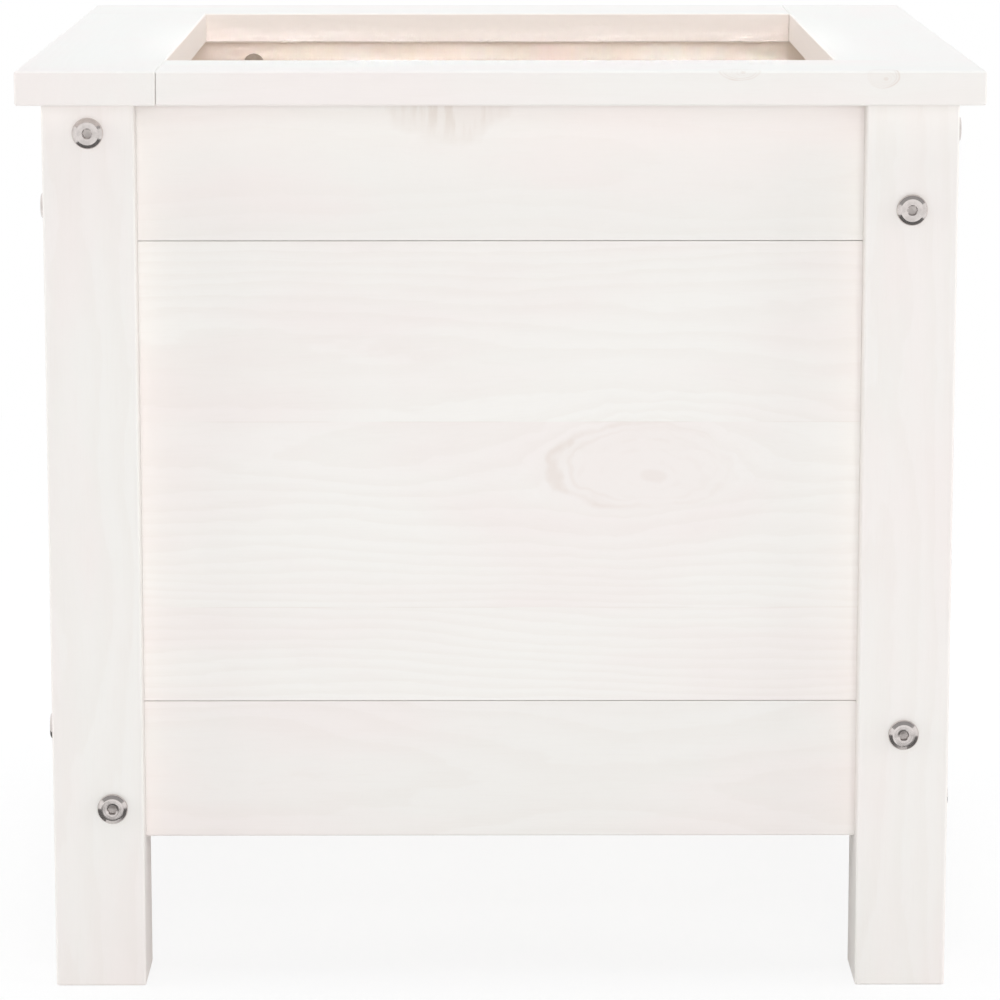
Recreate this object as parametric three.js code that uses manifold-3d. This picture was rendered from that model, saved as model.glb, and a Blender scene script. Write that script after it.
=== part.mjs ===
// A square flat-pack planter of painted pine, after the tree boxes of an orangery.
// Four corner posts carry four boarded walls, a flat rim of four boards in a pinwheel, and a slatted floor.
// Each wall is a top rail, a tongued panel and a rebated bottom rail. Connector bolts pass through the posts
// and screw into barrel nuts in the rails' ends. The planter repeats every quarter turn, apart from its floor.
// Millimetres, +Z up, the front towards -Y. The origin is at the middle of the footprint, on the ground.

import * as THREE from "three";
import { mergeVertices } from "three/addons/utils/BufferGeometryUtils.js";
import Module from "manifold-3d";

const wasm = await Module();
wasm.setup();

// ---- Overall sizes ----
const rimWidth = 400; // across the rim, both ways
const planterHeight = 392;

// ---- Timber sections ----
const postSide = 38;
const wallThickness = 14;
const rimBoardWidth = 58;
const rimBoardThickness = 14;
const topRailHeight = 58;
const bottomRailHeight = 59;
const ledgeHeight = 30; // thick lower part of the bottom rail, whose top carries the floor
const floorSlatThickness = 10;
const edgeEase = 0.6; // small chamfer on the sawn and planed edges that show

// ---- Places ----
const rimOverhang = 10; // rim past the outer faces of the posts
const floorClearance = 63; // ground to the underside of the bottom rails
const floorSlatCount = 4;
const drainageGap = 8; // between two floor slats

// ---- Joints between the timbers ----
const panelSeam = 0.5; // open line between a rail and the panel
const tongueThickness = 4.4;
const tongueHeight = 4.8; // from the panel's edge to the end of its tongue
const tenonLength = 10; // rim board's stub tenon
const tenonWidth = 34;
const tenonThickness = 5;
const timberGap = 0.3; // between two timbers that meet or fit into each other
const slatPlay = 0.8; // between a floor slat and the timbers round it

// ---- Connector bolts ----
const boltDiameter = 6;
const boltLength = 80; // under the head
const boltTipChamfer = 0.8;
const boltHeadDiameter = 13;
const boltHeadHeight = 2.2;
const boltHeadRim = 0.5; // height of the head's upright edge, below its bevel
const boltFaceDiameter = 9.5; // flat face inside the bevel
const socketAcrossFlats = 4;
const socketDepth = 2.4;
const boltPlay = 0.5; // between a bolt and its bore, all round
const boltEdgeDistance = 12; // bolt line to the rail edge that it lies near
const boltRiseAboveSeam = 14; // bolt line of the top rail's other end, above the rail's lower edge
const boreOverrun = 3; // rail bore past the end of the bolt

// ---- Barrel nuts ----
const nutDiameter = 10;
const nutLength = 12;
const nutBlindReach = 5; // bolt line to the nut's blind end
const nutSlotWidth = 1.4;
const nutSlotDepth = 1.2;
const nutPlay = 0.3; // round the nut in the timber, and round the bolt in the nut
const nutSetback = 32; // nut's axis from the end of the rail

// ---- Rim dowels ----
const dowelDiameter = 8;
const dowelInRim = 9;
const dowelInPost = 20;
const dowelChamfer = 1;
const dowelPlay = 0.25;
const dowelOffset = 10.5; // dowel beside the upper bolt's line, towards the inside of the planter

// ---- Facets round a circle ----
const headFacets = 24;
const boreFacets = 16;

// ---- Places that follow from the sizes ----
const rimHalf = rimWidth / 2;
const rimUnderside = planterHeight - rimBoardThickness;
const mouthHalf = rimHalf - rimBoardWidth;
const postTop = rimUnderside - timberGap;
const postOuter = rimHalf - rimOverhang;
const postInner = postOuter - postSide;
const postLine = (postOuter + postInner) / 2;
const wallOuter = postLine + wallThickness / 2;
const wallInner = postLine - wallThickness / 2;
const railEnd = postInner - timberGap;
const topRailBottom = postTop - topRailHeight;
const bottomRailTop = floorClearance + bottomRailHeight;
const panelBottom = bottomRailTop + panelSeam;
const panelTop = topRailBottom - panelSeam;
const ledgeTop = floorClearance + ledgeHeight;
const ledgeLine = (wallOuter + postInner) / 2;
const grooveWidth = tongueThickness + 2 * timberGap;
const grooveDepth = tongueHeight - panelSeam + timberGap;
const boreRadius = boltDiameter / 2 + boltPlay;
const boltHeadSeat = postOuter + timberGap;
const boltTip = boltHeadSeat - boltLength;
const nutLine = postInner - nutSetback;
const dowelLine = postLine - dowelOffset;
const cutMargin = 1; // how far a cutter runs past the face that it opens

const paintedPine = { color: 0xf1ece7, roughness: 0.6, metalness: 0 };
const floorPine = { color: 0xead7c4, roughness: 0.7, metalness: 0 };
const beech = { color: 0xd9b98f, roughness: 0.7, metalness: 0 };
const nickelPlate = { color: 0xcfcac6, roughness: 0.25, metalness: 1 };
const zincPlate = { color: 0xb3a899, roughness: 0.4, metalness: 1 };

// ---- Solids ----

// Turns a closed geometry into a solid that can be joined and cut.
function solid(geometry) {
  const bare = geometry.clone();
  bare.deleteAttribute("normal");
  bare.deleteAttribute("uv");
  const merged = mergeVertices(bare, 1e-4);
  const corners = merged.index.array;
  const triangles = [];
  for (let i = 0; i < corners.length; i += 3) {
    const [a, b, c] = corners.slice(i, i + 3);
    if (a !== b && b !== c && c !== a) triangles.push(a, b, c);
  }
  const mesh = new wasm.Mesh({
    numProp: 3,
    vertProperties: new Float32Array(merged.attributes.position.array),
    triVerts: new Uint32Array(triangles),
  });
  return new wasm.Manifold(mesh);
}

// Turns a solid back into a geometry.
function geometryOf(body) {
  const mesh = body.getMesh();
  const geometry = new THREE.BufferGeometry();
  geometry.setAttribute("position", new THREE.BufferAttribute(mesh.vertProperties, 3));
  geometry.setIndex(new THREE.BufferAttribute(mesh.triVerts, 1));
  geometry.computeVertexNormals();
  return geometry;
}

// Cuts every given solid out of a body.
function cut(body, cutters) {
  return cutters.reduce((rest, cutter) => rest.subtract(cutter), body);
}

// A solid block between two opposite corners.
function block(low, high) {
  const size = new THREE.Vector3().subVectors(high, low);
  const middle = new THREE.Vector3().addVectors(low, high).multiplyScalar(0.5);
  const geometry = new THREE.BoxGeometry(size.x, size.y, size.z);
  return solid(geometry.translate(middle.x, middle.y, middle.z));
}

// A round cutter from one point to another.
function bore(radius, start, end) {
  const run = new THREE.Vector3().subVectors(end, start);
  const geometry = new THREE.CylinderGeometry(radius, radius, run.length(), boreFacets);
  const turn = new THREE.Quaternion().setFromUnitVectors(new THREE.Vector3(0, 1, 0), run.clone().normalize());
  geometry.applyQuaternion(turn);
  const middle = new THREE.Vector3().addVectors(start, end).multiplyScalar(0.5);
  return solid(geometry.translate(middle.x, middle.y, middle.z));
}

// ---- Timber ----

// A closed outline through the given corners.
function outline(corners) {
  return new THREE.Shape(corners.map(([u, v]) => new THREE.Vector2(u, v)));
}

// The outline of a rectangle whose corners are eased.
function easedRectangle(uLow, vLow, uHigh, vHigh) {
  const e = edgeEase;
  return outline([
    [uLow + e, vLow], [uHigh - e, vLow], [uHigh, vLow + e], [uHigh, vHigh - e],
    [uHigh - e, vHigh], [uLow + e, vHigh], [uLow, vHigh - e], [uLow, vLow + e],
  ]);
}

// A timber along Z whose two ends are eased as well.
function easedPrism(section, low, high) {
  const geometry = new THREE.ExtrudeGeometry(section, {
    depth: high - low - 2 * edgeEase,
    bevelThickness: edgeEase,
    bevelSize: edgeEase,
    bevelOffset: -edgeEase,
    bevelSegments: 1,
  });
  return geometry.translate(0, 0, low + edgeEase);
}

// A timber along Z whose two ends are sawn square.
function squarePrism(section, low, high) {
  const geometry = new THREE.ExtrudeGeometry(section, { depth: high - low, bevelEnabled: false });
  return geometry.translate(0, 0, low);
}

// Lays a timber along X: its section's u then runs along Y and its v along Z.
function layAlongX(geometry) {
  const lay = new THREE.Matrix4().makeBasis(
    new THREE.Vector3(0, 1, 0), new THREE.Vector3(0, 0, 1), new THREE.Vector3(1, 0, 0),
  );
  return geometry.applyMatrix4(lay);
}

// ---- Where the connector bolts of the front wall run ----

// Each bolt holds one end of one rail. side is -1 at the wall's left end and +1 at its right end. line is
// the bolt's distance from the planter's middle plane, and height its height above the ground. The two
// bolts of a post's corner stay clear of each other, because a wall's left and right ends differ in height.
const bolts = [
  { rail: "top", end: "left", side: -1, line: postLine, height: topRailBottom + boltRiseAboveSeam },
  { rail: "top", end: "right", side: 1, line: postLine, height: postTop - boltEdgeDistance },
  { rail: "bottom", end: "left", side: -1, line: postLine, height: bottomRailTop - boltEdgeDistance },
  { rail: "bottom", end: "right", side: 1, line: ledgeLine, height: floorClearance + ledgeHeight / 2 },
];

// The bore that a bolt of the front wall needs through the post at its end.
function boreThroughPost({ side, line, height }) {
  const outside = new THREE.Vector3(side * (postOuter + cutMargin), -line, height);
  const inside = new THREE.Vector3(side * (postInner - cutMargin), -line, height);
  return bore(boreRadius, outside, inside);
}

// The two bores that a bolt and its barrel nut need in the end of a rail of the front wall.
function boresInRail({ side, line, height }) {
  const mouth = new THREE.Vector3(side * (railEnd + cutMargin), -line, height);
  const bottom = new THREE.Vector3(side * (boltTip - boreOverrun), -line, height);
  const nutBottom = new THREE.Vector3(side * nutLine, -line - nutBlindReach - nutPlay, height);
  const nutMouth = new THREE.Vector3(side * nutLine, -postInner + cutMargin, height);
  return [bore(boreRadius, mouth, bottom), bore(nutDiameter / 2 + nutPlay, nutBottom, nutMouth)];
}

// Turns a solid of the front wall by quarter turns about the planter's axis.
function quarterTurned(body, turns) {
  return body.rotate([0, 0, 90 * turns]);
}

// ---- The timbers of the front side ----

// The post at the left of the front wall. That wall's left bolts cross it along X, the left wall's
// right bolts cross it along Y, and the left rim board's dowel stands in its top.
function postGeometry() {
  const section = easedRectangle(-postOuter, -postOuter, -postInner, -postInner);
  const ownBores = bolts.filter((bolt) => bolt.side < 0).map(boreThroughPost);
  const neighbourBores = bolts.filter((bolt) => bolt.side > 0).map(boreThroughPost);
  const turnedBores = neighbourBores.map((body) => quarterTurned(body, -1));
  const dowelHole = bore(
    dowelDiameter / 2 + dowelPlay,
    new THREE.Vector3(-dowelLine, -postLine, postTop - dowelInPost - dowelPlay),
    new THREE.Vector3(-dowelLine, -postLine, postTop + cutMargin),
  );
  const blank = solid(easedPrism(section, 0, postTop));
  return geometryOf(cut(blank, [...ownBores, ...turnedBores, dowelHole]));
}

// The top rail, with a groove for the panel's upper tongue in its lower edge.
function topRailGeometry() {
  const grooveTop = topRailBottom + grooveDepth;
  const grooveHalf = grooveWidth / 2;
  const section = outline([
    [-wallOuter, topRailBottom], [-postLine - grooveHalf, topRailBottom], [-postLine - grooveHalf, grooveTop],
    [-postLine + grooveHalf, grooveTop], [-postLine + grooveHalf, topRailBottom], [-wallInner, topRailBottom],
    [-wallInner, postTop], [-wallOuter, postTop],
  ]);
  const blank = solid(layAlongX(squarePrism(section, -railEnd, railEnd)));
  const ownBolts = bolts.filter((bolt) => bolt.rail === "top");
  return geometryOf(cut(blank, ownBolts.flatMap(boresInRail)));
}

// The panel, with a tongue along its upper and lower edges.
function panelGeometry() {
  const tongueHalf = tongueThickness / 2;
  const low = panelBottom - tongueHeight;
  const high = panelTop + tongueHeight;
  const section = outline([
    [-wallOuter, panelBottom], [-postLine - tongueHalf, panelBottom], [-postLine - tongueHalf, low],
    [-postLine + tongueHalf, low], [-postLine + tongueHalf, panelBottom], [-wallInner, panelBottom],
    [-wallInner, panelTop], [-postLine + tongueHalf, panelTop], [-postLine + tongueHalf, high],
    [-postLine - tongueHalf, high], [-postLine - tongueHalf, panelTop], [-wallOuter, panelTop],
  ]);
  return layAlongX(squarePrism(section, -railEnd, railEnd));
}

// The bottom rail: rebated above its ledge, with eased lower edges and a groove for the lower tongue.
function bottomRailGeometry() {
  const e = edgeEase;
  const grooveBottom = bottomRailTop - grooveDepth;
  const grooveHalf = grooveWidth / 2;
  const section = outline([
    [-wallOuter + e, floorClearance], [-postInner - e, floorClearance], [-postInner, floorClearance + e],
    [-postInner, ledgeTop - e], [-postInner - e, ledgeTop], [-wallInner, ledgeTop],
    [-wallInner, bottomRailTop], [-postLine + grooveHalf, bottomRailTop], [-postLine + grooveHalf, grooveBottom],
    [-postLine - grooveHalf, grooveBottom], [-postLine - grooveHalf, bottomRailTop],
    [-wallOuter, bottomRailTop], [-wallOuter, floorClearance + e],
  ]);
  const blank = solid(layAlongX(squarePrism(section, -railEnd, railEnd)));
  const ownBolts = bolts.filter((bolt) => bolt.rail === "bottom");
  return geometryOf(cut(blank, ownBolts.flatMap(boresInRail)));
}

// A block round a stub tenon, larger by the given play all round and at its end. shoulder is the face
// that the tenon stands on, and reach is where it ends, both along X.
function tenonBlock(shoulder, reach, play) {
  const middleHeight = rimUnderside + rimBoardThickness / 2;
  const halfWidth = tenonWidth / 2 + play;
  const halfThickness = tenonThickness / 2 + play;
  const middle = mouthHalf + rimBoardWidth / 2;
  return block(
    new THREE.Vector3(Math.min(shoulder, reach), -middle - halfWidth, middleHeight - halfThickness),
    new THREE.Vector3(Math.max(shoulder, reach), -middle + halfWidth, middleHeight + halfThickness),
  );
}

// The front rim board. It runs to the rim's right edge, over the post there. At its left end it butts the
// left board, with a stub tenon in that board's inner edge, and its own inner edge takes the right board's
// tenon.
function rimBoardGeometry() {
  const shoulder = -mouthHalf + timberGap;
  const tenonEnd = shoulder - tenonLength;
  const section = easedRectangle(-rimHalf, rimUnderside, -mouthHalf, planterHeight);
  const blank = solid(layAlongX(easedPrism(section, tenonEnd, rimHalf)));
  const waste = block(
    new THREE.Vector3(tenonEnd - cutMargin, -rimHalf - cutMargin, rimUnderside - cutMargin),
    new THREE.Vector3(shoulder, -mouthHalf + cutMargin, planterHeight + cutMargin),
  ).subtract(tenonBlock(tenonEnd - cutMargin, shoulder + cutMargin, 0));
  const mortise = quarterTurned(tenonBlock(-mouthHalf + cutMargin, tenonEnd - timberGap, timberGap), 1);
  const dowelHole = bore(
    dowelDiameter / 2 + dowelPlay,
    new THREE.Vector3(postLine, -dowelLine, rimUnderside - cutMargin),
    new THREE.Vector3(postLine, -dowelLine, rimUnderside + dowelInRim + dowelPlay),
  );
  return geometryOf(cut(blank, [waste, mortise, dowelHole]));
}

// The dowel between the front rim board and the post under its right end.
function dowelGeometry() {
  const radius = dowelDiameter / 2;
  const low = postTop - dowelInPost;
  const high = rimUnderside + dowelInRim;
  const profile = [
    [0, low], [radius - dowelChamfer, low], [radius, low + dowelChamfer],
    [radius, high - dowelChamfer], [radius - dowelChamfer, high], [0, high],
  ].map(([r, h]) => new THREE.Vector2(r, h));
  const geometry = new THREE.LatheGeometry(profile, boreFacets).rotateX(Math.PI / 2);
  return geometry.translate(postLine, -dowelLine, 0);
}

// ---- Hardware, on its own axis along Y ----

// A connector bolt. The underside of its head is at zero and its shank runs towards -Y.
function boltGeometry() {
  const shank = boltDiameter / 2;
  const head = boltHeadDiameter / 2;
  const face = boltFaceDiameter / 2;
  const profile = [
    [0, -boltLength], [shank - boltTipChamfer, -boltLength], [shank, -boltLength + boltTipChamfer], [shank, 0],
    [head, 0], [head, boltHeadRim], [face, boltHeadHeight], [0, boltHeadHeight],
  ].map(([r, h]) => new THREE.Vector2(r, h));
  const socketRadius = socketAcrossFlats / Math.sqrt(3);
  const socket = new THREE.CylinderGeometry(
    socketRadius, socketRadius, socketDepth + cutMargin, 6, 1, false, Math.PI / 6,
  );
  socket.translate(0, boltHeadHeight + (cutMargin - socketDepth) / 2, 0);
  return geometryOf(solid(new THREE.LatheGeometry(profile, headFacets)).subtract(solid(socket)));
}

// A barrel nut. Its cross hole crosses the origin along X, and its slotted end faces +Y.
function nutGeometry() {
  const slottedEnd = nutLength - nutBlindReach;
  const radius = nutDiameter / 2;
  const barrel = new THREE.CylinderGeometry(radius, radius, nutLength, boreFacets);
  barrel.translate(0, nutLength / 2 - nutBlindReach, 0);
  const crossHole = bore(
    boltDiameter / 2 + nutPlay,
    new THREE.Vector3(-radius - cutMargin, 0, 0),
    new THREE.Vector3(radius + cutMargin, 0, 0),
  );
  const slot = block(
    new THREE.Vector3(-radius - cutMargin, slottedEnd - nutSlotDepth, -nutSlotWidth / 2),
    new THREE.Vector3(radius + cutMargin, slottedEnd + cutMargin, nutSlotWidth / 2),
  );
  return geometryOf(cut(solid(barrel), [crossHole, slot]));
}

// ---- Floor ----

// One floor slat, lying across the ledges of the left and right walls.
function floorSlatGeometry(index) {
  const floorHalf = postInner - slatPlay;
  const slatWidth = (2 * floorHalf - (floorSlatCount - 1) * drainageGap) / floorSlatCount;
  const front = -floorHalf + index * (slatWidth + drainageGap);
  const underside = ledgeTop + timberGap;
  const section = easedRectangle(front, underside, front + slatWidth, underside + floorSlatThickness);
  return layAlongX(easedPrism(section, -wallInner + slatPlay, wallInner - slatPlay));
}

// ---- Assembly ----

function piece(name, geometry, finish) {
  const mesh = new THREE.Mesh(geometry, new THREE.MeshStandardMaterial(finish));
  mesh.name = name;
  return mesh;
}

// A bolt and its barrel nut, in place in the front wall.
function fastener(side, bolt) {
  const ending = `${side}_${bolt.rail}_${bolt.end}`;
  const screw = piece(`bolt_${ending}`, boltGeometry(), nickelPlate);
  screw.rotation.z = -bolt.side * Math.PI / 2;
  screw.position.set(bolt.side * boltHeadSeat, -bolt.line, bolt.height);
  const nut = piece(`barrel_nut_${ending}`, nutGeometry(), zincPlate);
  nut.position.set(bolt.side * nutLine, -bolt.line, bolt.height);
  return [screw, nut];
}

// One quarter of the planter: a wall, its rim board, the post at its left and what fastens them.
function quarter(side, post, turns) {
  const group = new THREE.Group();
  group.add(
    piece(`post_${post}`, postGeometry(), paintedPine),
    piece(`top_rail_${side}`, topRailGeometry(), paintedPine),
    piece(`panel_${side}`, panelGeometry(), paintedPine),
    piece(`bottom_rail_${side}`, bottomRailGeometry(), paintedPine),
    piece(`rim_board_${side}`, rimBoardGeometry(), paintedPine),
    piece(`rim_dowel_${side}`, dowelGeometry(), beech),
    ...bolts.flatMap((bolt) => fastener(side, bolt)),
  );
  group.rotation.z = turns * Math.PI / 2;
  return group;
}

const planter = new THREE.Group();
const quarters = [
  ["front", "front_left"],
  ["right", "front_right"],
  ["back", "back_right"],
  ["left", "back_left"],
];
quarters.forEach(([side, post], turns) => planter.add(quarter(side, post, turns)));
for (let index = 0; index < floorSlatCount; index += 1) {
  planter.add(piece(`floor_slat_${index + 1}`, floorSlatGeometry(index), floorPine));
}

export default planter;
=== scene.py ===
"""The looks of a square planter of white painted pine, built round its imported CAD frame.

The timbers are the frame's own nodes with softened edges, a film of paint and a pine material whose
growth rings, fibres and knots run through each board in three dimensions. The connector bolts and barrel
nuts are remade with round heads, sockets, slots and threads. Metres, +Z up, the front towards -Y.
"""

import math

import bmesh
import bpy
from mathutils import Euler, Matrix, Vector


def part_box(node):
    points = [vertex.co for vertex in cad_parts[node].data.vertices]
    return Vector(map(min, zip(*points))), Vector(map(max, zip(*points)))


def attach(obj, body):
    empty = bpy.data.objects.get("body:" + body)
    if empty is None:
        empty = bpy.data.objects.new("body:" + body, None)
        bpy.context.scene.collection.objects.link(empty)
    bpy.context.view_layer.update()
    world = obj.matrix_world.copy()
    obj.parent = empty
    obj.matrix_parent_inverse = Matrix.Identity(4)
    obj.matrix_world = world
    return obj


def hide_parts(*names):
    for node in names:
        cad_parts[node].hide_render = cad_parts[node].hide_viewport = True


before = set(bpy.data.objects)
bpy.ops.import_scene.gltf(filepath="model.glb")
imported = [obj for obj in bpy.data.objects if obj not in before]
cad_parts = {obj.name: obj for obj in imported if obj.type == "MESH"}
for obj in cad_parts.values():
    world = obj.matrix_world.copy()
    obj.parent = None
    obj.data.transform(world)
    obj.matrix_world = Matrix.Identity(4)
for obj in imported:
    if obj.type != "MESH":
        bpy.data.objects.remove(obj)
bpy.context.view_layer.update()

MM = 0.001
SIDES = ("front", "right", "back", "left")
POSTS = ("front_left", "front_right", "back_right", "back_left")
BOLTS = ("top_left", "top_right", "bottom_left", "bottom_right")

# ---- Camera, from the photograph's lines ----
CAMERA_PLACE = (-0.0076, -2.027, 0.5432)
CAMERA_PITCH = 10.24  # degrees below the horizon
CAMERA_YAW = 0.23  # degrees to the right
CAMERA_LENS = 159.9

# ---- Light ----
WORLD_LEVEL = 0.33  # what the surroundings light with; the eye and reflections see them white
WHITE = (1.0, 1.0, 1.0, 1.0)
MIDDLE = (0.0, 0.0, 0.2)
INSIDE = (0.0, 0.165, 0.358)  # the strip of the back wall that shows through the mouth
EVEN = (1.0, 1.0, 1.0)
COOL = (0.88, 0.95, 1.0)
LAMPS = {  # place, aim, width and height, power, how far the beam spreads in degrees, colour
    "overhead": ((0.0, 0.1, 2.2), MIDDLE, (1.8, 1.8), 24.5, 180, COOL),
    "front": ((0.22, -3.1, 1.15), MIDDLE, (1.5, 1.8), 17.2, 180, EVEN),
    "front_low": ((0.22, -3.1, 0.72), MIDDLE, (1.5, 0.26), 16.7, 180, EVEN),
    "over_the_rim": ((0.0, -1.0, 0.56), INSIDE, (0.3, 0.02), 0.018, 2.2, EVEN),
    "right": ((3.0, -0.4, 0.9), MIDDLE, (1.6, 1.0), 32.0, 180, EVEN),
    "left": ((-3.0, -0.3, 0.9), MIDDLE, (1.6, 1.0), 32.0, 180, EVEN),
    "back": ((0.0, 3.1, 0.95), MIDDLE, (2.4, 1.2), 35.0, 180, EVEN),
}
FLOOR_SIZE = 60.0
FLOOR_TONE = (0.85, 0.85, 0.85, 1.0)
FLOOR_NEAR, FLOOR_FAR = 0.35, 1.4  # the floor turns plain white to the eye between these distances
FLOOR_WHITE_SHARE = 0.84  # and is this white already before that
CEILING_FLAG_SIZE = (4.4, 4.4)  # what polished metal sees above
CEILING_FLAG_HEIGHT = 1.2
CEILING_FLAG_LEVEL = 0.38
GROUND_FLAG_SIZE = (1.2, 0.22)  # what polished metal sees on the ground before each wall
GROUND_FLAG_DISTANCE = 0.315  # from the planter's middle
GROUND_FLAG_HEIGHT = 0.5 * MM
GROUND_FLAG_LEVEL = 0.15

# ---- Timber finish ----
PAINT_FILM = 0.2 * MM
EDGE_ROUNDING = 0.2 * MM
EDGE_ANGLE = 30  # degrees; what bends more is an edge to soften
FLAT_ANGLE = 0.5  # degrees; facets that bend less are one flat face
WELD_REACH = 0.001 * MM
RING_SPACING = 3.4 * MM
RING_WANDER = 0.026  # how far the growth rings stray from circles, side to side
GLUE_LINE = 0.35 * MM  # half the width of a panel's glue lines
RELIEF = 0.12 * MM  # depth of the grain's relief, of which this strength shows
RELIEF_STRENGTH = 0.3
PAINT_ROUGHNESS = 0.66
RING_ROUGHNESS = 0.58  # where the paint lies on a ring's hard late wood
PAINT_SPECULAR = 0.25
PITH_DEPTH = 45 * MM  # pith behind a wall board's middle
RIM_PITH_DEPTH = 12 * MM
PITH_RISE = 0.025  # up or down from a board's middle at most
POST_PITH = (0.036, 0.012)  # from a post's axis, in the post's own axes
SLAT_PITH_DEPTH = 0.04

# ---- Connector bolt: the frame's sizes, but for a smaller socket, with a thread ----
HEAD_DIAMETER = 13.0 * MM
HEAD_HEIGHT = 2.2 * MM
HEAD_RIM = 0.5 * MM
FACE_DIAMETER = 9.5 * MM
SOCKET_FLATS = 3.7 * MM
SOCKET_DEPTH = 2.4 * MM
SHANK_DIAMETER = 6.0 * MM
SHANK_LENGTH = 80.0 * MM
THREAD_LENGTH = 30.0 * MM
THREAD_PITCH = 1.0 * MM
THREAD_DEPTH = 0.55 * MM
THREAD_LEAD_IN = 0.7 * MM
THREAD_STEPS = 6  # rings to a pitch
TURN_STEPS = 48
SHARP_ANGLE = 32  # degrees; hardware's edges that bend more stay sharp

# ---- Barrel nut: the frame's sizes, but for a closer cross hole ----
NUT_DIAMETER = 10.0 * MM
NUT_LENGTH = 12.0 * MM
NUT_BLIND_REACH = 5.0 * MM
NUT_SLOT_WIDTH = 1.4 * MM
NUT_SLOT_DEPTH = 1.2 * MM
NUT_HOLE_DIAMETER = 6.4 * MM
NUT_CHAMFER = 0.5 * MM


def linear(red, green, blue):
    """The linear colour of an sRGB colour given from 0 to 255, by the sRGB curve."""
    parts = [c / 255 for c in (red, green, blue)]
    return tuple(c / 12.92 if c <= 0.04045 else ((c + 0.055) / 1.055) ** 2.4 for c in parts) + (1.0,)


# ---- Node graphs ----


class Graph:
    """Adds nodes to a node tree. A value is a socket, a number or a tuple."""

    def __init__(self, tree):
        self.tree = tree
        tree.nodes.clear()

    def node(self, kind, inputs=None, **settings):
        made = self.tree.nodes.new(kind)
        for name, value in settings.items():
            setattr(made, name, value)
        for key, value in (inputs or {}).items():
            self.join(value, made.inputs[key])
        return made

    def join(self, value, socket):
        if isinstance(value, bpy.types.NodeSocket):
            self.tree.links.new(value, socket)
        else:
            socket.default_value = value

    def math(self, operation, *values):
        return self.node("ShaderNodeMath", dict(enumerate(values)), operation=operation).outputs[0]

    def product(self, *values):
        total = values[0]
        for value in values[1:]:
            total = self.math("MULTIPLY", total, value)
        return total

    def most(self, *values):
        total = values[0]
        for value in values[1:]:
            total = self.math("MAXIMUM", total, value)
        return total

    def vector(self, operation, *values):
        made = self.node("ShaderNodeVectorMath", dict(enumerate(values)), operation=operation)
        return made.outputs["Value" if operation in ("LENGTH", "DOT_PRODUCT") else "Vector"]

    def scaled(self, vector, factor):
        inputs = {0: vector, "Scale": factor}
        return self.node("ShaderNodeVectorMath", inputs, operation="SCALE").outputs["Vector"]

    def smooth(self, value, low, high, to_low=0.0, to_high=1.0):
        inputs = {"Value": value, "From Min": low, "From Max": high, "To Min": to_low, "To Max": to_high}
        return self.node("ShaderNodeMapRange", inputs, interpolation_type="SMOOTHSTEP").outputs[0]

    def band(self, value, middle, width):
        """1 where value is at the middle, falling to 0 at the given width to each side."""
        return self.smooth(self.math("ABSOLUTE", self.math("SUBTRACT", value, middle)), width, 0.0)

    def mix(self, factor, first, second):
        return self.node("ShaderNodeMix", {0: factor, 6: first, 7: second}, data_type="RGBA").outputs[2]

    def noise(self, place, scale, detail=2.0, roughness=0.5):
        inputs = {"Vector": place, "Scale": scale, "Detail": detail, "Roughness": roughness}
        return self.node("ShaderNodeTexNoise", inputs).outputs["Fac"]

    def group(self, tree, inputs):
        made = self.node("ShaderNodeGroup", None, node_tree=tree)
        for key, value in inputs.items():
            self.join(value, made.inputs[key])
        return made.outputs

    def seen(self):
        """1 for the rays that see a background: from the camera, in a reflection or through glass."""
        paths = self.node("ShaderNodeLightPath").outputs
        return self.most(*(paths[f"Is {kind} Ray"] for kind in ("Camera", "Glossy", "Transmission")))


FLOAT = "NodeSocketFloat"
VECTOR = "NodeSocketVector"


def node_group(name, inputs, outputs):
    """A node group with the given sockets: its graph, what it is given and what it gives."""
    tree = bpy.data.node_groups.new(name, "ShaderNodeTree")
    for socket, kind in inputs.items():
        tree.interface.new_socket(socket, in_out="INPUT", socket_type=kind)
    for socket, kind in outputs.items():
        tree.interface.new_socket(socket, in_out="OUTPUT", socket_type=kind)
    graph = Graph(tree)
    return graph, graph.node("NodeGroupInput").outputs, graph.node("NodeGroupOutput").inputs


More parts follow.
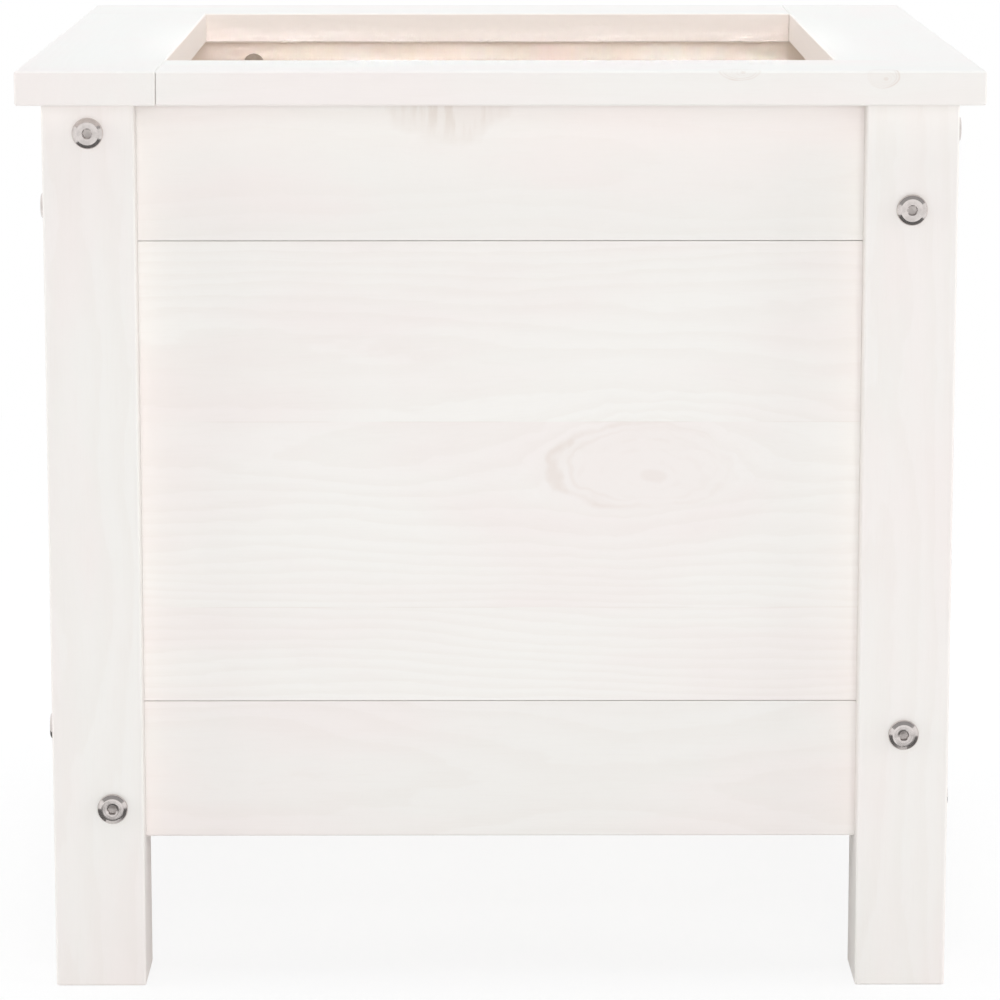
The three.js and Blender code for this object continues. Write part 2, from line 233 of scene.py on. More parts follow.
def knot_group():
    """Bends the grain round one knot. The board's length runs along X.

    The cross-grain coordinates open round the knot as a stream does round a post, so the growth rings
    flow past it. Core is 1 inside the knot. Tone is how dark its outline, rings and heart are. Lean points
    to the end where its outline is strongest. Distances are in radii of the knot, so its edge is at 1.
    """
    unevenness, opening = 0.44, 0.92
    second_ring, second_strength = 0.84, 0.6
    ring_phase, ring_strength = 24.0, 0.28
    heart_place, heart_strength = (0.15, 0.0, -0.22), 0.6
    inner_tone = 0.12
    g, given, out = node_group(
        "round_knot",
        {"Place": VECTOR, "Centre": VECTOR, "Radii": VECTOR, "Lean": VECTOR},
        {"Place": VECTOR, "Core": FLOAT, "Tone": FLOAT},
    )
    offset = g.vector("SUBTRACT", given["Place"], given["Centre"])
    unit = g.vector("DIVIDE", offset, given["Radii"])
    wobble = g.math("MULTIPLY_ADD", g.noise(given["Place"], 75.0, 2.0), unevenness, -unevenness / 2)
    distance = g.math("ADD", g.vector("LENGTH", unit), wobble)
    outside = g.math("MAXIMUM", distance, 1.0)
    flow = g.math("SUBTRACT", 1.0, g.math("DIVIDE", opening, g.math("MULTIPLY", outside, outside)))
    squeeze = g.node("ShaderNodeCombineXYZ", {0: 1.0, 1: flow, 2: flow}).outputs[0]
    g.join(g.vector("ADD", given["Centre"], g.vector("MULTIPLY", offset, squeeze)), out["Place"])

    core = g.smooth(distance, 1.05, 0.93)
    g.join(core, out["Core"])
    leaning = g.smooth(g.vector("DOT_PRODUCT", unit, given["Lean"]), -0.2, 0.9, 0.35, 1.0)
    patchy = g.smooth(g.noise(given["Place"], 120.0), 0.4, 0.6, 0.45, 1.0)
    outline = g.product(g.band(distance, 1.0, 0.1), leaning, patchy)
    second = g.product(g.band(distance, second_ring, 0.07), leaning, second_strength)
    heart_offset = g.vector("SUBTRACT", unit, heart_place)
    heart = g.math("ADD", g.vector("LENGTH", heart_offset), g.math("MULTIPLY", wobble, 0.8))
    waves = g.math("SINE", g.math("MULTIPLY", heart, ring_phase))
    rings = g.product(g.smooth(waves, -0.2, 1.0), core, ring_strength, patchy)
    speck = g.product(g.smooth(heart, 0.22, 0.08), heart_strength)
    g.join(g.most(outline, second, rings, speck, g.product(core, inner_tone)), out["Tone"])
    return g.tree


def figure_group():
    """The figure of pine at a place in a board whose length runs along X and whose pith is at zero.

    Late is 1 in the dark late wood of each growth ring, Fibre is the fine streaks along the grain, and
    Tone is a slow change of tone along and across the board. Each is drawn out along the grain.
    """
    g, given, out = node_group(
        "pine_figure", {"Place": VECTOR}, {"Late": FLOAT, "Fibre": FLOAT, "Tone": FLOAT},
    )
    ring_stretch, fibre_stretch, tone_stretch = (0.25, 1.0, 1.0), (0.03, 1.0, 1.0), (0.3, 1.0, 1.0)
    shiver_in_rings = 0.6
    place = given["Place"]
    slow = g.vector("MULTIPLY", place, ring_stretch)
    drift = g.node("ShaderNodeTexNoise", {"Vector": slow, "Scale": 15.0, "Detail": 2.0}).outputs["Color"]
    centred = g.vector("SUBTRACT", drift, (0.5, 0.5, 0.5))
    bent = g.vector("ADD", place, g.vector("MULTIPLY", centred, (0.0, RING_WANDER, RING_WANDER)))
    radius = g.vector("LENGTH", g.vector("MULTIPLY", bent, (0.0, 1.0, 1.0)))
    shiver = g.noise(g.vector("MULTIPLY", place, ring_stretch), 200.0, 3.0)
    turn = g.math("ADD", g.math("DIVIDE", radius, RING_SPACING), g.math("MULTIPLY", shiver, shiver_in_rings))
    within = g.math("FRACT", turn)
    g.join(g.product(g.smooth(within, 0.2, 0.86), g.smooth(within, 1.0, 0.9)), out["Late"])
    g.join(g.noise(g.vector("MULTIPLY", place, fibre_stretch), 1900.0, 3.0, 0.6), out["Fibre"])
    g.join(g.noise(g.vector("MULTIPLY", place, tone_stretch), 20.0, 3.0, 0.55), out["Tone"])
    return g.tree


def burl_group():
    """A patch of wild grain: streaks across the board's height that fade out towards the patch's edge.

    Place is in the planter's axes. Distances are in radii of the patch.
    """
    g, given, out = node_group(
        "burl", {"Place": VECTOR, "Centre": VECTOR, "Radii": VECTOR}, {"Tone": FLOAT},
    )
    unevenness, upright_stretch = 0.5, (1.0, 1.0, 0.16)
    patch_share, streak_share = 0.3, 0.7
    offset = g.vector("SUBTRACT", given["Place"], given["Centre"])
    uneven = g.math("MULTIPLY_ADD", g.noise(given["Place"], 110.0, 2.0), unevenness, -unevenness / 2)
    distance = g.math("ADD", g.vector("LENGTH", g.vector("DIVIDE", offset, given["Radii"])), uneven)
    patch = g.smooth(distance, 1.05, 0.8)
    fading = g.smooth(distance, 1.05, 0.2)
    upright = g.vector("MULTIPLY", given["Place"], upright_stretch)
    streaks = g.smooth(g.noise(upright, 330.0, 2.0), 0.42, 0.66)
    shown = g.math("ADD", g.product(patch, patch_share), g.product(fading, streaks, streak_share))
    g.join(shown, out["Tone"])
    return g.tree


ROUND_KNOT = knot_group()
PINE_FIGURE = figure_group()
BURL = burl_group()

PAINT_LIGHT = linear(243, 240, 236)
PAINT_PANEL = linear(246, 243, 239)
PAINT_PINK = linear(245, 237, 234)
PAINT_GRAIN = linear(229, 220, 212)
PAINT_KNOT = linear(222, 206, 196)
PAINT_BURL = linear(214, 200, 188)
# Painted light: a brighter, warmer copy of the paint for the inner faces, standing in for bounce light in the
# shaded interior
PAINTED_LIGHT_INSIDE = linear(253, 242, 232)
# Painted light: a brighter, warmer copy of the paint for the rim's edges round the mouth, standing in for
# bounce light
PAINTED_LIGHT_MOUTH = linear(250, 241, 235)
WASH_LIGHT = linear(251, 245, 238)
WASH_GRAIN = linear(240, 226, 210)
BEECH_LIGHT = linear(224, 190, 150)
BEECH_DARK = linear(198, 158, 116)
NICKEL_LIGHT = linear(224, 217, 214)
NICKEL_DARK = linear(208, 201, 198)
ZINC_LIGHT = linear(196, 184, 170)
ZINC_DARK = linear(168, 156, 143)
NICKEL_ROUGHNESS = 0.14
ZINC_ROUGHNESS = 0.34
CLOUD_ROUGHNESS = 0.08  # how much duller plating is in its clouds
SOCKET_ROUGHNESS = 0.5
TURNING_SHARE = 0.5  # how strongly turning marks darken plating

ALONG_X = Euler((0.0, 0.0, 0.0))
ALONG_Y = Euler((0.0, 0.0, -math.pi / 2))
ALONG_Z = Euler((0.0, math.pi / 2, 0.0))

INNER_REACH = abs(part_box("panel_front")[1].y)
INNER_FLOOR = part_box("floor_slat_1")[0].z
INNER_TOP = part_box("post_front_left")[1].z
MOUTH_REACH = abs(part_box("rim_board_front")[1].y)


def square_reach(g, parts):
    """How far a place is from the planter's middle, square to the wall that is nearest."""
    return g.most(g.math("ABSOLUTE", parts[0]), g.math("ABSOLUTE", parts[1]))


# Marks where the mouth's painted light goes: a brighter, warmer paint that stands in for bounce light.
def mouth_edge(g, place):
    """1 on the rim boards' edges round the mouth."""
    parts = g.node("ShaderNodeSeparateXYZ", {0: place}).outputs
    return g.smooth(square_reach(g, parts), MOUTH_REACH + 0.3 * MM, MOUTH_REACH)


# Marks where the interior's painted light goes: a brighter, warmer paint that stands in for bounce light in
# the shade.
def inner_face(g, place):
    """1 on what faces the soil: within the walls' inner faces, and between the floor and the rim.

    It fades within the timber's thickness, so no outer face shows it.
    """
    parts = g.node("ShaderNodeSeparateXYZ", {0: place}).outputs
    reach = square_reach(g, parts)
    within = g.smooth(reach, INNER_REACH + 1.5 * MM, INNER_REACH + 0.7 * MM)
    above = g.smooth(parts[2], INNER_FLOOR - 1 * MM, INNER_FLOOR)
    below = g.smooth(parts[2], INNER_TOP + 1 * MM, INNER_TOP)
    return g.product(within, above, below)


# A coat of paint: its main colour, the colours of its patches and of the grain, how strongly the patches,
# growth rings, fibres and knots show, and the function that says where painted light lies, with its brighter,
# warmer colour.
FULL_COAT = {
    "light": PAINT_LIGHT, "patches": PAINT_PINK, "grain": PAINT_GRAIN,
    "patch_share": 0.85, "ring_share": 0.11, "fibre_share": 0.1, "knot_share": 0.34,
    "painted_light_mask": inner_face, "painted_light_colour": PAINTED_LIGHT_INSIDE,
}
COATS = {
    "top_rail": {**FULL_COAT, "ring_share": 0.06},
    "panel": {**FULL_COAT, "light": PAINT_PANEL},
    "bottom_rail": FULL_COAT,
    "rim_board": {
        **FULL_COAT, "ring_share": 0.04, "knot_share": 0.6, "painted_light_mask": mouth_edge, "painted_light_colour": PAINTED_LIGHT_MOUTH,
    },
}
FLOOR_COAT = {
    "light": WASH_LIGHT, "patches": WASH_GRAIN, "grain": WASH_GRAIN,
    "patch_share": 0.3, "ring_share": 0.5, "fibre_share": 0.3, "knot_share": 0.0,
    "painted_light_mask": None, "painted_light_colour": None,
}
END_GRAIN_SHARE = 0.35  # how strongly growth rings show on a board's ends
GLUE_SHARE = 0.35
BURL_SHARE = 0.42


def pine(name, lie, pith, seed, coat, knots=(), staves=(), burls=()):
    """Painted pine for one board.

    lie turns the planter's axes into the board's, whose length runs along X. pith is where the tree's
    centre passes, in the board's axes. A knot is (centre, radii, lean) in the planter's axes. A stave is
    (height where it starts, pith, seed) and takes over from the one below it at a glue line. A burl is
    (centre, radii) in the planter's axes.
    """
    material = bpy.data.materials.new(name)
    material.use_nodes = True
    g = Graph(material.node_tree)
    coordinates = g.node("ShaderNodeTexCoord").outputs
    world_place = coordinates["Object"]
    board_place = g.node("ShaderNodeMapping", {"Vector": world_place, "Rotation": lie}).outputs[0]
    turn = lie.to_matrix()

    place, core, knot_tone = board_place, 0.0, 0.0
    for centre, radii, lean in knots:
        sizes = Vector([abs(size) for size in turn @ Vector(radii)])
        made = g.group(ROUND_KNOT, {
            "Place": place, "Centre": turn @ Vector(centre), "Radii": sizes, "Lean": turn @ Vector(lean),
        })
        place = made["Place"]
        core = g.most(core, made["Core"])
        knot_tone = g.most(knot_tone, made["Tone"])

    height = g.node("ShaderNodeSeparateXYZ", {0: world_place}).outputs[2]
    start = Vector((seed, -pith[0], -pith[1]))
    origin, glue, shift = start, 0.0, start
    for low, stave_pith, stave_seed in staves:
        after = Vector((stave_seed, -stave_pith[0], -stave_pith[1]))
        over = g.math("GREATER_THAN", height, low)
        shift = g.vector("ADD", shift, g.scaled(tuple(after - origin), over))
        glue = g.most(glue, g.band(height, low, GLUE_LINE))
        origin = after
    figure = g.group(PINE_FIGURE, {"Place": g.vector("ADD", place, shift)})
    along = turn.transposed() @ Vector((1, 0, 0))
    end_grain = g.math("ABSOLUTE", g.vector("DOT_PRODUCT", coordinates["Normal"], along))
    end_share = g.smooth(end_grain, 0.5, 0.9, 1.0, END_GRAIN_SHARE)
    late = g.product(figure["Late"], g.math("SUBTRACT", 1.0, core), end_share)
    fibre = figure["Fibre"]

    grain = coat["grain"]
    patchy = g.smooth(figure["Tone"], 0.36, 0.68, 0.0, coat["patch_share"])
    colour = g.mix(patchy, coat["light"], coat["patches"])
    colour = g.mix(g.math("MULTIPLY", late, coat["ring_share"]), colour, grain)
    colour = g.mix(g.smooth(fibre, 0.45, 0.8, 0.0, coat["fibre_share"]), colour, grain)
    if staves:
        broken = g.smooth(g.noise(g.vector("MULTIPLY", world_place, (1.0, 1.0, 0.0)), 30.0), 0.42, 0.6)
        colour = g.mix(g.product(glue, broken, GLUE_SHARE), colour, grain)
    if knots:
        colour = g.mix(g.math("MULTIPLY", knot_tone, coat["knot_share"]), colour, PAINT_KNOT)
    for centre, radii in burls:
        burl = g.group(BURL, {"Place": world_place, "Centre": centre, "Radii": radii})
        colour = g.mix(g.math("MULTIPLY", burl["Tone"], BURL_SHARE), colour, PAINT_BURL)
    # Painted light: a brighter, warmer paint inside the planter and round the mouth stands in for bounce
    # light.
    if coat["painted_light_mask"]:
        colour = g.mix(coat["painted_light_mask"](g, world_place), colour, coat["painted_light_colour"])

    relief = g.math("MULTIPLY_ADD", late, -0.5, g.math("MULTIPLY", fibre, 0.6))
    relief = g.math("ADD", relief, g.math("MULTIPLY", knot_tone, -0.5))
    bump = g.node("ShaderNodeBump", {"Height": relief, "Strength": RELIEF_STRENGTH, "Distance": RELIEF})
    shader = g.node("ShaderNodeBsdfPrincipled", {
        "Base Color": colour,
        "Roughness": g.smooth(late, 0.0, 1.0, PAINT_ROUGHNESS, RING_ROUGHNESS),
        "Normal": bump.outputs[0],
        "Specular IOR Level": PAINT_SPECULAR,
    })
    g.node("ShaderNodeOutputMaterial", {"Surface": shader.outputs[0]})
    return material


# ---- Timbers: the frame's nodes, with softened edges ----


def finish_timber(node, material):
    """Joins a node's facets, lays a film of paint on it and rounds its edges a little."""
    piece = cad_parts[node]
    weld = piece.modifiers.new("join_corners", "WELD")
    weld.merge_threshold = WELD_REACH
    flat = piece.modifiers.new("clear_flats", "DECIMATE")
    flat.decimate_type = "DISSOLVE"
    flat.angle_limit = math.radians(FLAT_ANGLE)
    film = piece.modifiers.new("paint_film", "DISPLACE")
    film.strength = PAINT_FILM / 2 if node.startswith("rim_board") else PAINT_FILM
    film.mid_level = 0.0
    ease = piece.modifiers.new("soften_edges", "BEVEL")
    ease.width = EDGE_ROUNDING if node.startswith(("rim_board", "post")) else EDGE_ROUNDING / 2
    ease.segments = 2
    ease.angle_limit = math.radians(EDGE_ANGLE)
    ease.harden_normals = True
    piece.data.materials.clear()
    piece.data.materials.append(material)


def middle(node):
    low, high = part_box(node)
    return (low + high) / 2


LIES = {"front": ALONG_X, "right": ALONG_Y, "back": ALONG_X, "left": ALONG_Y}

# Each knot's centre, radii and lean, in the planter's axes.
KNOTS = {
    "panel_front": [((0.0594, -0.171, 0.2236), (0.037, 0.2, 0.0182), (-1, 0, 0))],
    "rim_board_front": [
        ((0.0984, -0.2, 0.3925), (0.0085, 0.012, 0.0042), (0, 0, -1)),
        ((0.1575, -0.2, 0.3900), (0.0065, 0.010, 0.0045), (1, 0, 0)),
    ],
    "rim_board_back": [((-0.097, 0.142, 0.384), (0.010, 0.014, 0.005), (1, 0, 0))],
    "panel_right": [((0.171, -0.061, 0.282), (0.2, 0.021, 0.011), (0, 1, 0))],
    "bottom_rail_right": [((0.171, 0.083, 0.097), (0.2, 0.017, 0.009), (0, -1, 0))],
    "panel_back": [
        ((0.081, 0.171, 0.171), (0.024, 0.2, 0.012), (1, 0, 0)),
        ((-0.102, 0.171, 0.291), (0.014, 0.2, 0.007), (-1, 0, 0)),
    ],
    "panel_left": [((-0.171, 0.044, 0.214), (0.2, 0.029, 0.014), (0, 1, 0))],
    "top_rail_left": [((-0.171, -0.093, 0.349), (0.2, 0.015, 0.008), (0, -1, 0))],
    "post_back_right": [((0.171, 0.171, 0.221), (0.009, 0.2, 0.016), (0, 0, 1))],
}

# Each burl's centre and radii, in the planter's axes.
BURLS = {"top_rail_front": [((-0.022, -0.171, 0.378), (0.026, 0.2, 0.019))]}

# Where each stave of a panel starts above the lowest one, with its pith and seed in the board's axes.
STAVES = {
    "front": [(0.1629, (-0.205, 0.228), 3.1), (0.2427, (-0.226, 0.262), 7.7)],
    "right": [(0.1905, (-0.215, 0.232), 2.3), (0.2655, (-0.240, 0.330), 6.1)],
    "back": [(0.1532, (0.228, 0.196), 4.9), (0.2318, (0.210, 0.285), 8.3)],
    "left": [(0.1804, (0.222, 0.205), 1.9), (0.2604, (0.236, 0.310), 5.7)],
}


def finish_boards():
    for index, side in enumerate(SIDES):
        lie = LIES[side]
        for rank, (kind, coat) in enumerate(COATS.items()):
            node = f"{kind}_{side}"
            centre = lie.to_matrix() @ middle(node)
            behind = RIM_PITH_DEPTH if kind == "rim_board" else PITH_DEPTH
            above = PITH_RISE * math.sin(3.1 * rank + index)
            pith = (centre.y - math.copysign(behind, centre.y), centre.z + above)
            seed = 1.7 * index + 0.61 * rank
            staves = STAVES[side] if kind == "panel" else ()
            knots, burls = KNOTS.get(node, ()), BURLS.get(node, ())
            finish_timber(node, pine(f"pine_{node}", lie, pith, seed, coat, knots, staves, burls))
    for index, post in enumerate(POSTS):
        node = f"post_{post}"
        centre = ALONG_Z.to_matrix() @ middle(node)
        pith = (centre.y + POST_PITH[0], centre.z + POST_PITH[1])
        seed = 5.3 + 1.3 * index
        finish_timber(node, pine(f"pine_{node}", ALONG_Z, pith, seed, FULL_COAT, KNOTS.get(node, ())))
    for number in range(1, 5):
        node = f"floor_slat_{number}"
        centre = middle(node)
        pith = (centre.y, centre.z - SLAT_PITH_DEPTH)
        finish_timber(node, pine(f"pine_{node}", ALONG_X, pith, 9.1 + number, FLOOR_COAT))
    dowel_wood = beech()
    for side in SIDES:
        finish_timber(f"rim_dowel_{side}", dowel_wood)


def beech():
    """Bare beech, for the dowels."""
    material = bpy.data.materials.new("bare_beech")
    material.use_nodes = True
    g = Graph(material.node_tree)
    place = g.node("ShaderNodeTexCoord").outputs["Object"]
    fleck = g.noise(g.vector("MULTIPLY", place, (1.0, 1.0, 0.08)), 1500.0, 3.0)
    colour = g.mix(fleck, BEECH_LIGHT, BEECH_DARK)
    shader = g.node("ShaderNodeBsdfPrincipled", {"Base Color": colour, "Roughness": 0.65})
    g.node("ShaderNodeOutputMaterial", {"Surface": shader.outputs[0]})
    return material


# ---- Hardware ----


def plated(name, light, dark, roughness):
    """Plated steel round the piece's own Y axis: cloudy, finely turned, and duller inside a socket."""
    material = bpy.data.materials.new(name)
    material.use_nodes = True
    g = Graph(material.node_tree)
    place = g.node("ShaderNodeTexCoord").outputs["Object"]
    cloud = g.noise(place, 300.0, 2.0)
    radius = g.vector("LENGTH", g.vector("MULTIPLY", place, (1.0, 0.0, 1.0)))
    marks = g.noise(g.node("ShaderNodeCombineXYZ", {0: radius}).outputs[0], 9000.0, 1.0)
    height = g.node("ShaderNodeSeparateXYZ", {0: place}).outputs[1]
    sunk = g.product(
        g.smooth(radius, SOCKET_FLATS / 2 + 0.5 * MM, SOCKET_FLATS / 2 + 0.3 * MM),
        g.smooth(height, HEAD_HEIGHT - 0.1 * MM, HEAD_HEIGHT - 0.5 * MM),
    )
    colour = g.mix(g.smooth(cloud, 0.35, 0.7), light, dark)
    colour = g.mix(g.product(g.smooth(marks, 0.4, 0.7), TURNING_SHARE), colour, dark)
    dullness = g.smooth(cloud, 0.3, 0.7, roughness, roughness + CLOUD_ROUGHNESS)
    shader = g.node("ShaderNodeBsdfPrincipled", {
        "Base Color": colour,
        "Metallic": 1.0,
        "Roughness": g.most(dullness, g.product(sunk, SOCKET_ROUGHNESS)),
    })
    g.node("ShaderNodeOutputMaterial", {"Surface": shader.outputs[0]})
    return material


def round_ring(radius):
    return lambda angle: radius


def hexagon_ring(across_flats):
    """The outline of a hexagon as a radius for each angle, with a flat face towards +Z and -Z."""
    def radius(angle):
        sector = (angle + math.pi / 6) % (math.pi / 3) - math.pi / 6
        return across_flats / 2 / math.cos(sector)
    return radius


def loft(name, rings, steps=TURN_STEPS):
    """A closed solid through rings round the Y axis. Each ring is (height, radius for an angle)."""
    bm = bmesh.new()
    rows = []
    for height, radius in rings:
        row = []
        for step in range(steps):
            angle = 2 * math.pi * step / steps
            r = radius(angle)
            row.append(bm.verts.new((r * math.sin(angle), height, r * math.cos(angle))))
        rows.append(row)
    for low, high in zip(rows, rows[1:]):
        for step in range(steps):
            after = (step + 1) % steps
            bm.faces.new((low[step], low[after], high[after], high[step]))
    bm.faces.new(reversed(rows[0]))
    bm.faces.new(rows[-1])
    bmesh.ops.recalc_face_normals(bm, faces=bm.faces)
    mesh = bpy.data.meshes.new(name)
    bm.to_mesh(mesh)
    bm.free()
    return mesh


def thread_rings():
    """Rings of the screw thread, from the bolt's tip up to its plain shank."""
    count = round(THREAD_LENGTH / THREAD_PITCH * THREAD_STEPS)

    def ring(step):
        height = -SHANK_LENGTH + THREAD_LENGTH * step / count
        fade = min(1.0, (count - step) / (2 * THREAD_STEPS), step / THREAD_STEPS)
        lead_in = THREAD_LEAD_IN * max(0.0, 1 - step / THREAD_STEPS)

        def radius(angle):
            phase = (height / THREAD_PITCH - angle / (2 * math.pi)) % 1.0
            valley = 1 - abs(2 * phase - 1)
            return SHANK_DIAMETER / 2 - lead_in - THREAD_DEPTH * valley * fade
        return height, radius
    return [ring(step) for step in range(count + 1)]


def bolt_mesh():
    """A connector bolt: threaded shank, round bevelled head and hex socket. Its head faces +Y."""
    shank, head, face = SHANK_DIAMETER / 2, HEAD_DIAMETER / 2, FACE_DIAMETER / 2
    ease = 0.05 * MM
    fillet = 0.3 * MM
    top = HEAD_HEIGHT
    turned, turned_half, turned_depth = face * 0.72, 0.25 * MM, 0.008 * MM
    mouth = SOCKET_FLATS / 2 / math.cos(math.pi / 6) + 0.05 * MM
    socket = hexagon_ring(SOCKET_FLATS)
    sunk = top - SOCKET_DEPTH
    profile = [
        (-fillet, shank), (0.0, shank + fillet),  # under the head
        (0.0, head - ease), (ease, head), (HEAD_RIM - ease, head), (HEAD_RIM + ease, head - ease * 0.4),
        (HEAD_RIM + 0.6 * MM, head - 0.25 * MM), (HEAD_RIM + 0.71 * MM, head - 0.4 * MM),  # the bevel's foot
        (top - 0.1 * MM, face + 0.12 * MM), (top - ease, face + ease),  # the bevel's head
        (top - ease * 0.2, face + ease * 0.1), (top, face - ease),  # the edge of the flat face
        (top, turned + turned_half), (top - turned_depth, turned), (top, turned - turned_half),
        (top, mouth + 0.08 * MM), (top - 0.03 * MM, mouth),  # round the socket
    ]
    rings = thread_rings() + [(height, round_ring(radius)) for height, radius in profile]
    rings += [
        (top - 0.3 * MM, socket), (sunk, socket),
        (sunk - 0.02 * MM, hexagon_ring(SOCKET_FLATS * 0.9)), (sunk - 0.5 * MM, round_ring(0.2 * MM)),
    ]
    return loft("connector_bolt", rings)


def box_mesh(low, high):
    bm = bmesh.new()
    bmesh.ops.create_cube(bm, size=1.0)
    bmesh.ops.scale(bm, vec=high - low, verts=bm.verts)
    bmesh.ops.translate(bm, vec=(low + high) / 2, verts=bm.verts)
    mesh = bpy.data.meshes.new("block")
    bm.to_mesh(mesh)
    bm.free()
    return mesh


def cut_away(mesh, cutters):
    """The mesh with each cutter mesh taken out of it, and no faces without area."""
    body = bpy.data.objects.new("cut_body", mesh)
    bpy.context.scene.collection.objects.link(body)
    tools = []
    for index, cutter in enumerate(cutters):
        tool = bpy.data.objects.new(f"cutter_{index}", cutter)
        bpy.context.scene.collection.objects.link(tool)
        tools.append(tool)
        cut = body.modifiers.new(f"cut_{index}", "BOOLEAN")
        cut.object = tool
        cut.operation = "DIFFERENCE"
    made = bpy.data.meshes.new_from_object(body.evaluated_get(bpy.context.evaluated_depsgraph_get()))
    for scrap in (body, *tools):
        bpy.data.objects.remove(scrap)
    bm = bmesh.new()
    bm.from_mesh(made)
    bmesh.ops.dissolve_degenerate(bm, dist=WELD_REACH, edges=bm.edges)
    bm.to_mesh(made)
    bm.free()
    return made


def nut_mesh():
    """A barrel nut: chamfered barrel, screwdriver slot in the end towards +Y, cross hole along X."""
    radius, end = NUT_DIAMETER / 2, NUT_LENGTH - NUT_BLIND_REACH
    barrel = loft("barrel_nut", [(height, round_ring(r)) for height, r in (
        (-NUT_BLIND_REACH, radius - NUT_CHAMFER), (-NUT_BLIND_REACH + NUT_CHAMFER, radius),
        (end - NUT_CHAMFER, radius), (end - NUT_CHAMFER * 0.3, radius - NUT_CHAMFER * 0.4),
        (end, radius - NUT_CHAMFER * 1.2),
    )])
    bore = round_ring(NUT_HOLE_DIAMETER / 2)
    hole = loft("hole", [(height, bore) for height in (-NUT_DIAMETER, NUT_DIAMETER)])
    hole.transform(Matrix.Rotation(math.pi / 2, 4, "Z"))
    half = NUT_SLOT_WIDTH / 2
    slot_low = Vector((-NUT_DIAMETER, end - NUT_SLOT_DEPTH, -half))
    slot_high = Vector((NUT_DIAMETER, end + MM, half))
    slot = box_mesh(slot_low, slot_high)
    made = cut_away(barrel, [hole, slot])
    made.name = "barrel_nut"
    return made


def smooth_by_angle(mesh, degrees):
    """Smooth shading, with sharp edges where two faces meet at more than the given angle."""
    bm = bmesh.new()
    bm.from_mesh(mesh)
    for face in bm.faces:
        face.smooth = True
    for edge in bm.edges:
        edge.smooth = len(edge.link_faces) == 2 and edge.calc_face_angle() < math.radians(degrees)
    bm.to_mesh(mesh)
    bm.free()


def place_piece(name, mesh, matrix, node):
    piece = bpy.data.objects.new(name, mesh)
    bpy.context.scene.collection.objects.link(piece)
    piece.matrix_world = matrix
    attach(piece, "root")
    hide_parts(node)


def axis_place(origin, y_axis):
    """A matrix that puts a piece's Y axis along y_axis, its Z axis upright and its origin at origin."""
    y = y_axis.normalized()
    z = Vector((0, 0, 1))
    turn = Matrix((y.cross(z), y, z)).transposed()
    return Matrix.Translation(origin) @ turn.to_4x4()


def fit_hardware():
    bolt, nut = bolt_mesh(), nut_mesh()
    smooth_by_angle(bolt, SHARP_ANGLE)
    smooth_by_angle(nut, SHARP_ANGLE)
    bolt.materials.append(plated("nickel_plate", NICKEL_LIGHT, NICKEL_DARK, NICKEL_ROUGHNESS))
    nut.materials.append(plated("zinc_plate", ZINC_LIGHT, ZINC_DARK, ZINC_ROUGHNESS))
    for index, side in enumerate(SIDES):
        quarter = Matrix.Rotation(index * math.pi / 2, 3, "Z")
        inward = quarter @ Vector((0, 1, 0))
        for end in BOLTS:
            way = quarter @ Vector((-1 if end.endswith("left") else 1, 0, 0))
            node = f"bolt_{side}_{end}"
            seat = middle(node) + way * (SHANK_LENGTH - HEAD_HEIGHT) / 2
            place_piece(f"connector_bolt_{side}_{end}", bolt, axis_place(seat, way), node)
            node = f"barrel_nut_{side}_{end}"
            cross = middle(node) - inward * (NUT_LENGTH / 2 - NUT_BLIND_REACH)
            place_piece(f"cross_dowel_nut_{side}_{end}", nut, axis_place(cross, inward), node)


# ---- Studio ----


def floor_material():
    """A pale matt floor that takes a light shadow near the planter and is plain white to the eye further off.

    From below it is clear.
    """
    material = bpy.data.materials.new("pale_floor")
    material.use_nodes = True
    g = Graph(material.node_tree)
    place = g.node("ShaderNodeTexCoord").outputs["Object"]
    distance = g.vector("LENGTH", place)
    white_share = g.smooth(distance, FLOOR_NEAR, FLOOR_FAR, FLOOR_WHITE_SHARE, 1.0)
    tone = g.mix(g.seen(), FLOOR_TONE, WHITE)
    matt = g.node("ShaderNodeBsdfDiffuse", {"Color": tone})
    white = g.node("ShaderNodeEmission", {"Color": WHITE, "Strength": 1.0})
    share = g.product(white_share, g.seen())
    blend = g.node("ShaderNodeMixShader", {0: share, 1: matt.outputs[0], 2: white.outputs[0]})
    clear = g.node("ShaderNodeBsdfTransparent")
    below = g.node("ShaderNodeNewGeometry").outputs["Backfacing"]
    both = g.node("ShaderNodeMixShader", {0: below, 1: blend.outputs[0], 2: clear.outputs[0]})
    g.node("ShaderNodeOutputMaterial", {"Surface": both.outputs[0]})
    return material


def glowing(name, level):
    material = bpy.data.materials.new(name)
    material.use_nodes = True
    g = Graph(material.node_tree)
    glow = g.node("ShaderNodeEmission", {"Color": WHITE, "Strength": level})
    g.node("ShaderNodeOutputMaterial", {"Surface": glow.outputs[0]})
    return material


def flag(name, size, place, level):
    """A grey sheet that only reflections see, as a flag beside a polished subject."""
    bpy.ops.mesh.primitive_plane_add(size=1.0, location=place)
    sheet = bpy.context.object
    sheet.name = name
    sheet.scale = (*size, 1.0)
    sheet.data.materials.append(glowing(name, level))
    for kind in ("camera", "diffuse", "transmission", "volume_scatter", "shadow"):
        setattr(sheet, f"visible_{kind}", False)
    return sheet


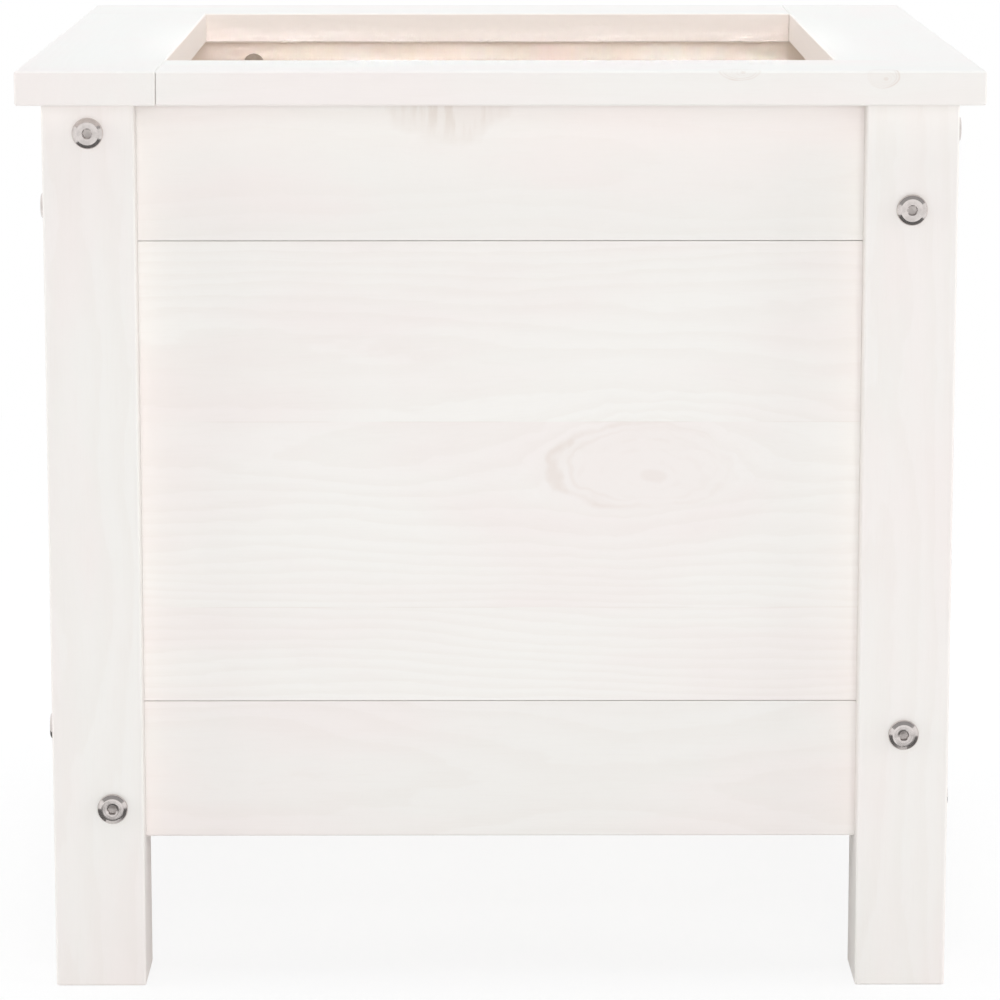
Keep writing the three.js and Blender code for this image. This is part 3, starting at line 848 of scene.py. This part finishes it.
def soft_box(name, place, aim, size, power, spread, colour):
    """An area light that faces the planter and doesn't show itself to the camera."""
    data = bpy.data.lights.new(name, "AREA")
    data.shape = "RECTANGLE"
    data.size, data.size_y = size
    data.energy, data.color, data.spread = power, colour, math.radians(spread)
    lamp = bpy.data.objects.new(name, data)
    bpy.context.scene.collection.objects.link(lamp)
    lamp.location = place
    lamp.rotation_euler = (Vector(aim) - Vector(place)).to_track_quat("-Z", "Y").to_euler()
    lamp.visible_camera = False
    lamp.visible_glossy = False


def studio():
    bpy.ops.mesh.primitive_plane_add(size=FLOOR_SIZE)
    floor = bpy.context.object
    floor.name = "floor"
    floor.data.materials.append(floor_material())
    flag("ceiling_flag", CEILING_FLAG_SIZE, (0.0, 0.0, CEILING_FLAG_HEIGHT), CEILING_FLAG_LEVEL)
    for index, side in enumerate(SIDES):
        quarter = Matrix.Rotation(index * math.pi / 2, 3, "Z")
        place = quarter @ Vector((0.0, -GROUND_FLAG_DISTANCE, GROUND_FLAG_HEIGHT))
        sheet = flag(f"ground_flag_{side}", GROUND_FLAG_SIZE, place, GROUND_FLAG_LEVEL)
        sheet.rotation_euler.z = index * math.pi / 2

    world = bpy.data.worlds.new("studio")
    bpy.context.scene.world = world
    world.use_nodes = True
    g = Graph(world.node_tree)
    level = g.math("MULTIPLY_ADD", g.seen(), 1.0 - WORLD_LEVEL, WORLD_LEVEL)
    sky = g.node("ShaderNodeBackground", {"Color": WHITE, "Strength": level})
    g.node("ShaderNodeOutputWorld", {"Surface": sky.outputs[0]})
    for name, settings in LAMPS.items():
        soft_box(name, *settings)


def camera():
    data = bpy.data.cameras.new("camera")
    data.lens = CAMERA_LENS
    view = bpy.data.objects.new("camera", data)
    bpy.context.scene.collection.objects.link(view)
    view.location = CAMERA_PLACE
    view.rotation_euler = (math.radians(90 - CAMERA_PITCH), 0.0, -math.radians(CAMERA_YAW))
    bpy.context.scene.camera = view


camera()
studio()
finish_boards()
fit_hardware()
bpy.context.scene.view_settings.view_transform = "Standard"
